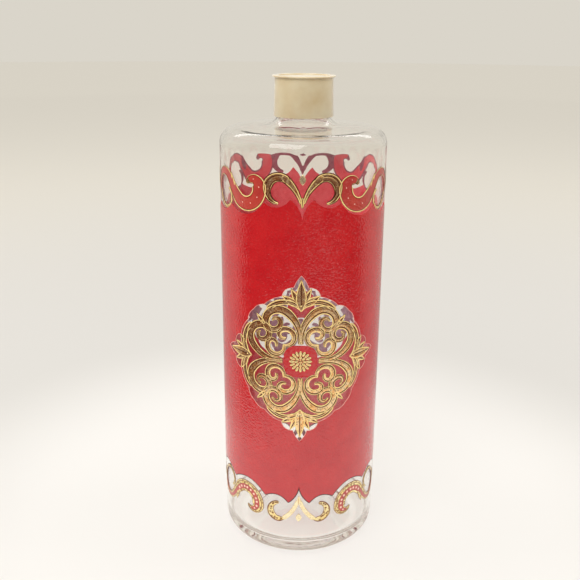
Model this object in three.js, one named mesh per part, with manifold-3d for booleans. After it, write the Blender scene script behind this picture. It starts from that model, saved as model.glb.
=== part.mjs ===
// Decorated glass jar: a tall round bottle of clear glass with a screw cap. A red enamel field goes
// round it, with a gilded scroll medallion on the front and on the back, and a gilded scroll border
// above and below. Millimetres, +Z up, origin at the centre of the foot, front medallion facing -Y.

import * as THREE from 'three';
import { mergeVertices } from 'three/addons/utils/BufferGeometryUtils.js';
import Module from 'manifold-3d';

const wasm = await Module();
wasm.setup();

// Bottle
const bodyRadius = 43.7;
const wallThickness = 3;
const heelRadius = 8.7;
const shoulderRadius = 8.5;
const straightTop = 225.7; // height at which the shoulder starts to turn in
const shoulderRise = 1.6; // from the rounded edge up to the root of the neck
const shoulderRootRadius = 22;
const floorThickness = 8;
const footRingWidth = 4; // flat ring that the jar stands on
const puntHeight = 3.5;
const neckRadius = 12.55;
const neckWall = 3.55;
const neckRound = 5.4; // height of the sweep from shoulder to neck
const neckSweep = 2.5; // how far out from the neck the sweep turns
const lipRound = 0.8;

// Cap and its liner
const capStandoff = 3.9; // from the root of the neck up to the cap
const capHeight = 20.5;
const skirtThickness = 1.4;
const skirtTaper = 0.55; // how much narrower the skirt is at its top
const flangeReach = 0.8;
const flangeThickness = 0.8;
const rimWidth = 2.9; // round the dish in the top
const dishDepth = 0.7;
const capRoofThickness = 1.5;
const linerThickness = 1;
const linerClearance = 0.5; // round the liner
const seatGap = 0.3; // between the neck, the liner and the roof of the cap

// Screw thread, right-handed
const threadPitch = 4.233;
const neckThreadDepth = 1.15;
const neckThreadTurns = 1.5;
const neckThreadDrop = 2.4; // from the top of the neck to the start of its thread
const neckThreadRootWidth = 2.6;
const neckThreadCrestWidth = 1.2;
const capThreadTurns = 1.25;
const capThreadRootWidth = 1.9;
const capThreadCrestWidth = 1;
const crestClearance = 0.4; // from the crest of the neck's thread to the bore of the cap
const rootClearance = 0.5; // from the crest of the cap's thread to the neck
const threadLead = 1.8; // the cap's thread bears on the underside of the neck's, this far below it
const threadRoot = 0.4; // how deep a thread's root goes into its wall

// Decoration, as films on the glass
const filmGap = 0.2;
const enamelThickness = 0.3;
const giltThickness = 0.5;
const marginBelow = 13.8; // from the start of the straight wall up to the lower border
const marginAbove = 7.6; // from the upper border up to the end of the straight wall
const borderHeight = 26; // at the sides of the jar, where the border is highest
const medallionReach = 46.5; // from its middle to a point of its clear window
const discGap = 1; // from the red centre to the foot of an arm
const discSquareness = 0.45; // how much further the red centre reaches on its diagonals
const rosetteMargin = 3.5; // of red centre round the rosette
const rosettePetals = 16;
const petalDepth = 0.7;

// Values that follow from the sizes above
const roundSegments = 32;
const capSegments = 32;
const shoulderTop = straightTop + shoulderRadius;
const rootHeight = shoulderTop + shoulderRise;
const capBottom = rootHeight + capStandoff;
const capTop = capBottom + capHeight;
const roofUnderside = capTop - dishDepth - capRoofThickness;
const neckTop = roofUnderside - linerThickness - 2 * seatGap;
const neckThreadCrest = neckRadius + neckThreadDepth;
const capBoreRadius = neckThreadCrest + crestClearance;
const filmRadius = bodyRadius + filmGap;
const halfRepeat = (Math.PI * filmRadius) / 2; // the border repeats twice round the jar
const printBottom = heelRadius + marginBelow;
const printTop = straightTop - marginAbove;
const printMiddle = (printBottom + printTop) / 2;

const clearGlass = { color: 0xe8efe8, roughness: 0.05, metalness: 0, transparent: true, opacity: 0.35 };
const creamPlastic = { color: 0xd8cbb2, roughness: 0.35, metalness: 0 };
const linerBoard = { color: 0xcfc8b6, roughness: 0.8, metalness: 0 };
const redEnamel = { color: 0xbf2b30, roughness: 0.25, metalness: 0 };
const giltInk = { color: 0xd8a64e, roughness: 0.35, metalness: 0.9 };
const paleGilt = { color: 0xe9d9a0, roughness: 0.4, metalness: 0.8 };

// Solids

function toSolid(geometry) {
  const bare = geometry.clone();
  bare.deleteAttribute('normal');
  bare.deleteAttribute('uv');
  const merged = mergeVertices(bare, 1e-4);
  const corners = merged.index.array;
  const kept = [];
  for (let i = 0; i < corners.length; i += 3) {
    const [a, b, c] = corners.slice(i, i + 3);
    if (a !== b && b !== c && c !== a) kept.push(a, b, c);
  }
  return new wasm.Manifold(new wasm.Mesh({
    numProp: 3,
    vertProperties: merged.attributes.position.array,
    triVerts: new Uint32Array(kept),
  }));
}

function toGeometry(solid) {
  const mesh = solid.getMesh();
  const geometry = new THREE.BufferGeometry();
  geometry.setAttribute('position', new THREE.BufferAttribute(mesh.vertProperties, 3));
  geometry.setIndex(new THREE.BufferAttribute(mesh.triVerts, 1));
  geometry.computeVertexNormals();
  return geometry;
}

function joinAll(solids) {
  return solids.reduce((whole, piece) => whole.add(piece));
}

// Turns a closed profile of [radius, height] pairs, listed anticlockwise, about the Z axis
function revolve(profile, segments) {
  const points = profile.map(([radius, height]) => new THREE.Vector2(radius, height));
  return toSolid(new THREE.LatheGeometry([...points, points[0]], segments).rotateX(Math.PI / 2));
}

function arcPoints(centreX, centreY, radius, startDegrees, endDegrees, steps) {
  const points = [];
  for (let i = 0; i <= steps; i++) {
    const angle = THREE.MathUtils.degToRad(startDegrees + ((endDegrees - startDegrees) * i) / steps);
    points.push([centreX + radius * Math.cos(angle), centreY + radius * Math.sin(angle)]);
  }
  return points;
}

function curvePoints(start, control, end, steps) {
  const corners = [start, control, end].map(([x, y]) => new THREE.Vector2(x, y));
  const curve = new THREE.QuadraticBezierCurve(...corners);
  return curve.getPoints(steps).map((point) => [point.x, point.y]);
}

// A helical ridge of trapezoid section, swept down from its upper end, which starts at startAngle
function helixRidge({ root, crest, rootWidth, crestWidth, turns, top, startAngle }) {
  const stepsPerTurn = 18;
  const runOut = 0.2; // share of its depth that the ridge goes on into the wall at each end
  const section = new THREE.Shape([
    new THREE.Vector2(root, -rootWidth / 2),
    new THREE.Vector2(crest, -crestWidth / 2),
    new THREE.Vector2(crest, crestWidth / 2),
    new THREE.Vector2(root, rootWidth / 2),
  ]);
  const sweep = turns * 2 * Math.PI;
  const ridge = new THREE.ExtrudeGeometry(section, {
    depth: sweep,
    steps: Math.ceil(turns * stepsPerTurn),
    bevelEnabled: false,
  });
  const position = ridge.attributes.position;
  for (let i = 0; i < position.count; i++) {
    const travelled = position.getZ(i);
    const atEnd = travelled < 1e-6 || travelled > sweep - 1e-6;
    const radius = atEnd ? root : position.getX(i);
    const reach = radius + (atEnd ? (position.getX(i) - root) * runOut : 0);
    const angle = startAngle - travelled;
    const height = top + position.getY(i) - (threadPitch * travelled) / (2 * Math.PI);
    position.setXYZ(i, reach * Math.cos(angle), reach * Math.sin(angle), height);
  }
  return toSolid(ridge);
}

// Flat drawing: x runs round the jar and y up it

// A scroll is drawn as tangent arcs laid end to end, each [radius, turn in degrees], with the width
// of the stroke given at every joint, and it comes back as a closed outline.
function scrollOutline({ start, heading, arcs, widths }) {
  const degreesPerStep = 45;
  const tipRoundness = 0.9;
  const leftSide = [];
  const rightSide = [];
  let [x, y] = start;
  let direction = THREE.MathUtils.degToRad(heading);
  const addRib = (width) => {
    const across = [(-Math.sin(direction) * width) / 2, (Math.cos(direction) * width) / 2];
    leftSide.push([x + across[0], y + across[1]]);
    rightSide.unshift([x - across[0], y - across[1]]);
  };
  addRib(widths[0]);
  arcs.forEach(([radius, turn], index) => {
    const steps = Math.ceil(Math.abs(turn) / degreesPerStep);
    const stepTurn = THREE.MathUtils.degToRad(turn / steps);
    const chord = 2 * radius * Math.sin(Math.abs(stepTurn) / 2);
    for (let i = 1; i <= steps; i++) {
      x += chord * Math.cos(direction + stepTurn / 2);
      y += chord * Math.sin(direction + stepTurn / 2);
      direction += stepTurn;
      addRib(THREE.MathUtils.lerp(widths[index], widths[index + 1], i / steps));
    }
  });
  const tip = (widths.at(-1) / 2) * tipRoundness;
  return [...leftSide, [x + tip * Math.cos(direction), y + tip * Math.sin(direction)], ...rightSide];
}

// A pointed leaf from its foot to its tip
function leafOutline([footX, footY], [tipX, tipY], width, steps = 3) {
  const fullness = 0.8; // below 1 the leaf is widest nearer its foot
  const [spanX, spanY] = [tipX - footX, tipY - footY];
  const length = Math.hypot(spanX, spanY);
  const side = (sign) => Array.from({ length: steps }, (_, i) => {
    const t = (i + 0.5) / steps;
    const half = (sign * width * Math.sin(Math.PI * t ** fullness)) / (2 * length);
    return [footX + spanX * t - spanY * half, footY + spanY * t + spanX * half];
  });
  return [[footX, footY], ...side(-1), [tipX, tipY], ...side(1).reverse()];
}

// One lobe of a scalloped edge, from one cusp to the next, without its last point
function lobe([startX, startY], [endX, endY], bulge, steps = 4) {
  const [spanX, spanY] = [endX - startX, endY - startY];
  const length = Math.hypot(spanX, spanY);
  return Array.from({ length: steps }, (_, i) => {
    const t = i / steps;
    const rise = (4 * bulge * t * (1 - t)) / length;
    return [startX + spanX * t - spanY * rise, startY + spanY * t + spanX * rise];
  });
}

const mirrored = (outline) => outline.map(([x, y]) => [-x, y]);
const flipped = (outline) => outline.map(([x, y]) => [x, -y]);
const quarterTurned = (outline, quarters) => {
  const [cos, sin] = [[1, 0], [0, 1], [-1, 0], [0, -1]][quarters % 4];
  return outline.map(([x, y]) => [x * cos - y * sin, x * sin + y * cos]);
};
const moved = (outline, dx, dy) => outline.map(([x, y]) => [x + dx, y + dy]);
const scaled = (outline, factorX, factorY) => outline.map(([x, y]) => [x * factorX, y * factorY]);

// A flat outline as a block that reaches past both faces of the plate below
function stencil(outline) {
  const shape = new THREE.Shape(outline.map(([x, y]) => new THREE.Vector2(x, y)));
  const block = new THREE.ExtrudeGeometry(shape, { depth: 2, steps: 1, bevelEnabled: false });
  return toSolid(block.translate(0, 0, -0.5));
}

// A film of unit thickness unrolled flat, a little over half way round the jar. It is creased where
// the jar's wall has its facet edges, so that whatever is cut from it bends there.
function creasedPlate() {
  const facetWidth = (4 * halfRepeat) / roundSegments;
  const creases = roundSegments / 4 + 1;
  const creaseHeight = 0.1;
  const crest = (base) => Array.from({ length: 2 * creases + 1 }, (_, i) => (
    new THREE.Vector2((i - creases) * facetWidth, base + (i % 2) * creaseHeight)
  ));
  const section = new THREE.Shape([...crest(0), ...crest(1).reverse()]);
  const plate = new THREE.ExtrudeGeometry(section, { depth: straightTop, steps: 1, bevelEnabled: false });
  return toSolid(plate.rotateX(Math.PI / 2).translate(0, straightTop, 0));
}

const plate = creasedPlate();

// Cuts a flat drawing from the plate and wraps it round the jar: turn is where x = 0 of the drawing
// lies, 0 at the front and half a turn at the back. Rounding lets wrapped pieces share their corners.
function film(drawing, turn, innerRadius, thickness) {
  const geometry = toGeometry(plate.intersect(drawing));
  const position = geometry.attributes.position;
  for (let i = 0; i < position.count; i++) {
    const angle = turn + position.getX(i) / filmRadius;
    const radius = position.getZ(i) < 0.5 ? innerRadius : innerRadius + thickness;
    const place = [radius * Math.sin(angle), -radius * Math.cos(angle), position.getY(i)];
    position.setXYZ(i, ...place.map((value) => Math.round(value * 1e4) / 1e4));
  }
  geometry.computeVertexNormals();
  return geometry;
}

// Pieces

function glassBottle() {
  const innerRadius = bodyRadius - wallThickness;
  const heelInner = heelRadius - wallThickness;
  const shoulderInner = shoulderRadius - wallThickness;
  const edgeRadius = bodyRadius - shoulderRadius;
  const footInnerRadius = bodyRadius - heelRadius - footRingWidth;
  const boreRadius = neckRadius - neckWall;
  const neckRoot = rootHeight + neckRound;
  const puntSteps = 2;
  const punt = Array.from({ length: puntSteps }, (_, i) => {
    const t = i / puntSteps;
    return [footInnerRadius * t, puntHeight * (1 - t * t)];
  });
  const profile = [
    ...punt,
    [footInnerRadius, 0],
    ...arcPoints(bodyRadius - heelRadius, heelRadius, heelRadius, -90, 0, 4),
    ...arcPoints(edgeRadius, straightTop, shoulderRadius, 0, 84, 4),
    ...curvePoints(
      [shoulderRootRadius, rootHeight],
      [neckRadius + neckSweep, rootHeight + shoulderRise],
      [neckRadius, neckRoot],
      4,
    ),
    [neckRadius, neckTop - lipRound],
    [neckRadius - lipRound, neckTop],
    [boreRadius + lipRound, neckTop],
    [boreRadius, neckTop - lipRound],
    ...curvePoints(
      [boreRadius, rootHeight + neckRound / 2],
      [boreRadius, rootHeight - wallThickness],
      [shoulderRootRadius, rootHeight - wallThickness],
      2,
    ),
    ...arcPoints(edgeRadius, straightTop, shoulderInner, 84, 0, 3),
    ...arcPoints(innerRadius - heelInner, floorThickness + heelInner, heelInner, 0, -90, 2),
    [0, floorThickness],
  ];
  const ridge = helixRidge({
    root: neckRadius - threadRoot,
    crest: neckThreadCrest,
    rootWidth: neckThreadRootWidth,
    crestWidth: neckThreadCrestWidth,
    turns: neckThreadTurns,
    top: neckTop - neckThreadDrop,
    startAngle: 0,
  });
  return toGeometry(revolve(profile, roundSegments).add(ridge));
}

function screwCap() {
  const edge = 0.3;
  const skirtRadius = capBoreRadius + skirtThickness;
  const skirtTopRadius = skirtRadius - skirtTaper;
  const flangeRadius = skirtRadius + flangeReach;
  const dishRadius = flangeRadius - rimWidth;
  const profile = [
    [0, roofUnderside],
    [capBoreRadius, roofUnderside],
    [capBoreRadius, capBottom + edge],
    [capBoreRadius + edge, capBottom],
    [skirtRadius - edge, capBottom],
    [skirtRadius, capBottom + edge],
    [skirtTopRadius, capTop - flangeThickness],
    [flangeRadius, capTop - flangeThickness],
    [flangeRadius, capTop - edge],
    [flangeRadius - edge, capTop],
    [dishRadius + edge, capTop],
    [dishRadius, capTop - dishDepth],
    [0, capTop - dishDepth],
  ];
  const lateStart = Math.PI / 2; // the cap's thread starts a quarter turn further down than the neck's
  const ridge = helixRidge({
    root: capBoreRadius + threadRoot,
    crest: neckRadius + rootClearance,
    rootWidth: capThreadRootWidth,
    crestWidth: capThreadCrestWidth,
    turns: capThreadTurns,
    top: neckTop - neckThreadDrop - threadLead - (threadPitch * lateStart) / (2 * Math.PI),
    startAngle: -lateStart,
  });
  return toGeometry(revolve(profile, capSegments).add(ridge));
}

function capLiner() {
  const linerRadius = capBoreRadius - linerClearance;
  const low = neckTop + seatGap;
  const high = low + linerThickness;
  const profile = [[0, low], [linerRadius, low], [linerRadius, high], [0, high]];
  return toGeometry(revolve(profile, capSegments));
}

// Medallion, drawn about its own middle: y is the way out along one of its four arms. The drawing is
// brought to size by the reach of its clear window.

const armScrolls = [
  {
    start: [0.6, 10.3],
    heading: 99,
    arcs: [[17.2, -60], [7.3, -127], [4.1, -191], [2.2, -143]],
    widths: [1.6, 3.8, 3.7, 2, 1.2],
  },
  {
    start: [8.6, 8.6],
    heading: 189,
    arcs: [[4.6, -115], [4.5, -106], [2.4, -167]],
    widths: [1.5, 2.2, 1.9, 1],
  },
  { start: [0, 29], heading: 45, arcs: [[11.2, -96]], widths: [1.4, 1.8] },
];
const armSideLeaf = leafOutline([0.8, 31], [8, 37.4], 4.2, 2);
const armEndLeaf = leafOutline([0, 27], [0, 44], 5.2);
const diagonalDrop = leafOutline([18.6, 18.6], [24.3, 24.3], 2.6, 2);

// Cusps of the clear window from the end of an arm to the diagonal, and how far each lobe bulges
const windowCusps = [[0, 46.5], [3.8, 40.2], [10, 35.2], [19.4, 29.9], [26, 26]];
const windowBulges = [0.5, 1.6, 0.8, 0.9];

const medallionScale = medallionReach / windowCusps[0][1];
const toMedallion = (outline) => scaled(outline, medallionScale, medallionScale);

function medallionBlock() {
  const half = [...armScrolls.map(scrollOutline), armSideLeaf];
  const arm = [...half, ...half.map(mirrored), armEndLeaf, diagonalDrop].map(toMedallion);
  const armAt = (quarter) => arm.map((outline) => stencil(quarterTurned(outline, quarter)));
  return joinAll([0, 1, 2, 3].flatMap(armAt));
}

function windowOutline() {
  const octant = windowBulges.flatMap((bulge, i) => lobe(windowCusps[i], windowCusps[i + 1], bulge, 3));
  const diagonal = windowCusps.at(-1);
  const otherOctant = octant.slice(1).map(([x, y]) => [y, x]).reverse();
  const quarter = toMedallion([...octant, diagonal, ...otherOctant]);
  return [0, 3, 2, 1].flatMap((quarters) => quarterTurned(quarter, quarters));
}

function roundOutline(steps, radiusAt) {
  return Array.from({ length: steps }, (_, i) => {
    const angle = (2 * Math.PI * i) / steps;
    return [radiusAt(angle) * Math.cos(angle), radiusAt(angle) * Math.sin(angle)];
  });
}

const discRadius = armScrolls[0].start[1] * medallionScale - discGap;
const discOutline = roundOutline(24, (angle) => discRadius - discSquareness * Math.cos(4 * angle));
const rosetteRadius = discRadius - rosetteMargin;
const rosetteOutline = roundOutline(
  3 * rosettePetals,
  (angle) => rosetteRadius - petalDepth * (0.5 - 0.5 * Math.cos(rosettePetals * angle)),
);

// Border, drawn up from its lower edge, the right half of one repeat: x = 0 is under the medallion.
// The drawing is brought to size by half the repeat and by the height of the border.

const borderCrescent = [
  ...arcPoints(12.4, 7.2, 6.3, 115, -135, 10),
  ...arcPoints(9.8, 7.4, 4.2, -100, 72, 6),
];
const borderScroll = {
  start: [31.7, 4.5],
  heading: 235,
  arcs: [[4.6, -135], [9.1, -145], [45, -9], [45, 6], [6.6, 157], [12.4, 45], [4.5, 170]],
  widths: [1.2, 6.2, 5.4, 4.6, 4, 2.4, 2.1, 1.3],
};
const borderScrollLeaf = leafOutline([38.6, 12.6], [42.2, 2.8], 2.8);
const borderSpire = [[0, 17.8], [1.6, 12.8], [3.6, 8.8], [7.3, 4.4], [5, 4.2], [2.2, 7.6], [0, 11.4]];
const borderDiamond = [[0, 1], [1.2, 3.4], [0, 5.8], [-1.2, 3.4]];
const borderPalmette = [
  leafOutline([0, 3], [0, 20], 5),
  leafOutline([0.6, 4], [6.2, 13.5], 3.4),
];

// Lower edge of the red field over the right half of a repeat, cusp by cusp
const edgeCusps = [[0, 23.5], [5.8, 13.1], [19.2, 15.6], [42.3, 18.9], [59.5, 21.3], [69.1, 26]];
const edgeBulges = [-1.2, 3.1, 5.4, 3.4, 1.2];

function edgeOutline() {
  const overrun = 0.05; // each quarter laps its neighbour, so that no skin of enamel stays between them
  const lobes = edgeBulges.flatMap((bulge, i) => lobe(edgeCusps[i], edgeCusps[i + 1], bulge));
  const [farX, farY] = edgeCusps.at(-1);
  const nearSide = [[-overrun, -1], [-overrun, edgeCusps[0][1]]];
  const farSide = [[farX + overrun, farY], [farX + overrun, -1]];
  return [...nearSide, ...lobes, ...farSide];
}

const sides = { front: 0, back: Math.PI };

const [drawnHalfRepeat, drawnHeight] = edgeCusps.at(-1);
const toBorder = (outline) => scaled(outline, halfRepeat / drawnHalfRepeat, borderHeight / drawnHeight);

// The lower border stands on printBottom, and the upper border is its mirror image
const borders = {
  lower: (outline) => moved(toBorder(outline), 0, printBottom),
  upper: (outline) => moved(flipped(toBorder(outline)), 0, printTop),
};

// The red field is wrapped as two halves, which meet at the sides of the jar
function redField() {
  const corners = [[-halfRepeat, printBottom], [halfRepeat, printBottom]];
  const sheet = [...corners, [halfRepeat, printTop], [-halfRepeat, printTop]];
  let drawing = stencil(sheet).subtract(stencil(moved(windowOutline(), 0, printMiddle)));
  for (const place of Object.values(borders)) {
    drawing = drawing.subtract(stencil(place(edgeOutline())));
    drawing = drawing.subtract(stencil(place(mirrored(edgeOutline()))));
  }
  const wrapped = (turn) => toSolid(film(drawing, turn, filmRadius, enamelThickness));
  return toGeometry(joinAll(Object.values(sides).map(wrapped)));
}

// Scene graph

const jar = new THREE.Group();

function addPiece(parent, name, geometry, finish) {
  const mesh = new THREE.Mesh(geometry, new THREE.MeshStandardMaterial(finish));
  mesh.name = name;
  parent.add(mesh);
}

const bottle = new THREE.Group();
addPiece(bottle, 'glass_bottle', glassBottle(), clearGlass);
addPiece(bottle, 'red_enamel_field', redField(), redEnamel);

const medallion = medallionBlock().translate([0, printMiddle, 0]);
const disc = stencil(moved(discOutline, 0, printMiddle));
const rosette = stencil(moved(rosetteOutline, 0, printMiddle));
const rosetteSeat = filmRadius + enamelThickness + filmGap;
const hands = { left: mirrored, right: (outline) => outline };

for (const [side, turn] of Object.entries(sides)) {
  const gilt = (outlines) => film(joinAll(outlines.map(stencil)), turn, filmRadius, giltThickness);
  addPiece(bottle, `medallion_filigree_${side}`, film(medallion, turn, filmRadius, giltThickness), giltInk);
  addPiece(bottle, `medallion_disc_${side}`, film(disc, turn, filmRadius, enamelThickness), redEnamel);
  addPiece(bottle, `medallion_rosette_${side}`, film(rosette, turn, rosetteSeat, giltThickness), giltInk);

  for (const [level, place] of Object.entries(borders)) {
    for (const [hand, turned] of Object.entries(hands)) {
      const placed = (outline) => place(turned(outline));
      const crescent = [placed(borderCrescent)];
      const scroll = [scrollOutline(borderScroll), borderScrollLeaf].map(placed);
      addPiece(bottle, `${level}_crescent_${side}_${hand}`, gilt(crescent), giltInk);
      addPiece(bottle, `${level}_scroll_${side}_${hand}`, gilt(scroll), giltInk);
    }
    const spire = [...borderSpire, ...mirrored(borderSpire.slice(1, -1)).reverse()];
    addPiece(bottle, `${level}_spire_${side}`, gilt([place(spire)]), paleGilt);
    addPiece(bottle, `${level}_diamond_${side}`, gilt([place(borderDiamond)]), paleGilt);
  }
}

const palmetteTurns = { right: Math.PI / 2, left: -Math.PI / 2 };
for (const [side, turn] of Object.entries(palmetteTurns)) {
  for (const [level, place] of Object.entries(borders)) {
    const leaves = [...borderPalmette, mirrored(borderPalmette[1])];
    const block = joinAll(leaves.map((outline) => stencil(place(outline))));
    addPiece(bottle, `${level}_palmette_${side}`, film(block, turn, filmRadius, giltThickness), giltInk);
  }
}
jar.add(bottle);

const closure = new THREE.Group();
addPiece(closure, 'screw_cap', screwCap(), creamPlastic);
addPiece(closure, 'cap_liner', capLiner(), linerBoard);
jar.add(closure);

export default jar;
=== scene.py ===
from math import ceil, cos, hypot, pi, radians, sin, tan

import bmesh
import bpy
from mathutils import Matrix, Vector


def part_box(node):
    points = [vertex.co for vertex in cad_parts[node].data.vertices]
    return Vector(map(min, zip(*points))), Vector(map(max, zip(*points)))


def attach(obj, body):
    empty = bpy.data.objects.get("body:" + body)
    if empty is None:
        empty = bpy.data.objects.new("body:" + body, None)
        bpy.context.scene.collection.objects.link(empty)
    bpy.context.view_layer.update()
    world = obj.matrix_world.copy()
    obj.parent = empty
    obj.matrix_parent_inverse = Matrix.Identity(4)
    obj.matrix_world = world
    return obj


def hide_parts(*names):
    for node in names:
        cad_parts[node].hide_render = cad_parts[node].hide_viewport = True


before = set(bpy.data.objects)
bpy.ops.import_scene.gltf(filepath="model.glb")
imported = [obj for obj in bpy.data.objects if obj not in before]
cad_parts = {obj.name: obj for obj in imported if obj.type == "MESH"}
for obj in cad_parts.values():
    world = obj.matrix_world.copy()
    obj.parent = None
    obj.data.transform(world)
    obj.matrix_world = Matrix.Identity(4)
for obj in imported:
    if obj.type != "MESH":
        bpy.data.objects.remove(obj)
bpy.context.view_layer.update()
mm = 0.001
strokeLayers = ("share", "half", "toLine")  # what each point of a gold stroke carries
print("frame loaded:", len(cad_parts), "nodes")

# Shared helpers: colours, nodes and materials


def linear(hexColour):  # sRGB hex to the linear colour that a socket takes
    parts = [int(hexColour[i:i + 2], 16) / 255 for i in (1, 3, 5)]
    return (*[p / 12.92 if p <= 0.04045 else ((p + 0.055) / 1.055) ** 2.4 for p in parts], 1)


# Values go by the sockets' names or in their order; a node among them gives its first output in use.
# Map Range takes a value, the range that it lies in and the range that it becomes.


def setInputs(tree, node, values):
    for socket, value in values.items() if isinstance(values, dict) else enumerate(values):
        if isinstance(value, bpy.types.Node):
            value = next(output for output in value.outputs if output.enabled)
        if isinstance(value, bpy.types.NodeSocket):
            tree.links.new(value, node.inputs[socket])
        else:
            node.inputs[socket].default_value = value
    return node


def addNode(tree, kind, values=(), **settings):
    node = tree.nodes.new("ShaderNode" + kind)
    for name, value in settings.items():
        setattr(node, name, value)
    return setInputs(tree, node, values)


def newMaterial(name, finish):
    material = bpy.data.materials.new(name)
    material.use_nodes = True
    tree = material.node_tree
    shader = setInputs(tree, tree.nodes["Principled BSDF"], finish)
    return material, tree, shader, addNode(tree, "TexCoord").outputs["Object"]


def perMillimetre(size):  # scale of a pattern on Object coordinates whose features are this many mm
    return 1 / (size * mm)


def mottled(tree, place, size, detail, dark, light, low, high):
    # a cloudy pattern, and its colour: dark where it is below low, light above high
    pattern = addNode(tree, "TexNoise", {"Vector": place, "Scale": perMillimetre(size), "Detail": detail})
    colour = addNode(tree, "ValToRGB", [pattern])
    for element, tone, position in zip(colour.color_ramp.elements, (dark, light), (low, high)):
        element.color, element.position = linear(tone), position
    return pattern, colour


def grained(tree, place, size, depth, detail, roughness=0.5):  # an uneven skin, as deep as that in mm
    height = addNode(tree, "TexNoise", {
        "Vector": place,
        "Scale": perMillimetre(size),
        "Detail": detail,
        "Roughness": roughness,
    })
    return addNode(tree, "Bump", {"Height": height, "Distance": depth * mm, "Strength": 1})


# Glass and enamel

glassFinish = dict(tint="#fefdfb", ior=1.52, roughness=0.025, ripple=7, rippleDepth=0.05, depth="#d8ccb8", perMetre=8)


def sodaLimeGlass():
    # clear soda-lime glass, mould blown and fire polished: its wall softly uneven, tinted where thick
    material, tree, shader, place = newMaterial("sodaLimeGlass", {
        "Base Color": linear(glassFinish["tint"]),
        "Roughness": glassFinish["roughness"],
        "IOR": glassFinish["ior"],
        "Transmission Weight": 1,
    })
    ripple = grained(tree, place, glassFinish["ripple"], glassFinish["rippleDepth"], detail=1)
    setInputs(tree, shader, {"Normal": ripple})
    tint = addNode(tree, "VolumeAbsorption", {
        "Color": linear(glassFinish["depth"]),
        "Density": glassFinish["perMetre"],
    })
    setInputs(tree, tree.nodes["Material Output"], {"Volume": tint})
    return material


enamelFinish = dict(
    red="#b5141e", warmRed="#be1d23", thinRed="#a9322e", thinWarmRed="#b84238", mottle=9,
    roughness=0.08, ior=1.85, pebble=1, pebbleDepth=0.28,
    backRoughness=0.6, backIor=1.5, backCloud=2.5,
)


def firedEnamel(name, red, warmRed):
    # red enamel fired on the glass: glossy, its skin pebbled like orange peel
    material, tree, shader, place = newMaterial(name, {
        "Roughness": enamelFinish["roughness"],
        "IOR": enamelFinish["ior"],
    })
    _, colour = mottled(tree, place, enamelFinish["mottle"], 3, red, warmRed, low=0.35, high=0.65)
    pebble = grained(tree, place, enamelFinish["pebble"], enamelFinish["pebbleDepth"], detail=1, roughness=0.4)
    setInputs(tree, shader, {"Base Color": colour, "Normal": pebble})
    return material


def enamelBack(name, dark, light):
    # a thin coat with no gloss of its own, a little cloudy: the side of the print that lies on the
    # glass, seen through it, and the fine lines along the enamel's edges, which are a painted highlight and a painted
    # shade
    material, tree, shader, place = newMaterial(name, {
        "Roughness": enamelFinish["backRoughness"],
        "IOR": enamelFinish["backIor"],
    })
    _, colour = mottled(tree, place, enamelFinish["backCloud"], 2, dark, light, low=0.3, high=0.7)
    setInputs(tree, shader, {"Base Color": colour})
    return material


# Gold print. A stroke's mesh carries share, the place across it from -1 to 1, half, its half width
# in mm, and toLine, the part of that half width to the nearest drawn line or edge.

# the bright colour, its reach in from the edge and its metallic make a painted highlight along each stroke's edges
giltFinish = dict(
    gold="#ffe0ae", deepGold="#f8bc78", shading=3, bright="#ffe096", highlightFrom=0.5, brightTo=0.75,
    line="#481a06", lineWidth=0.24, edgeWidth=0.04, soft=0.1, wander=0.06, wanderSize=2,
    narrow=0.6, broad=1.3, narrowShare=0.15, dotCore=0.36, dotRim=0.5, dotFade=0.1,
    metallic=0.96, highlightMetallic=0.2, lineMetallic=0.1, roughness=0.18, grain=0.5, grainDepth=0.02,
)


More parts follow.
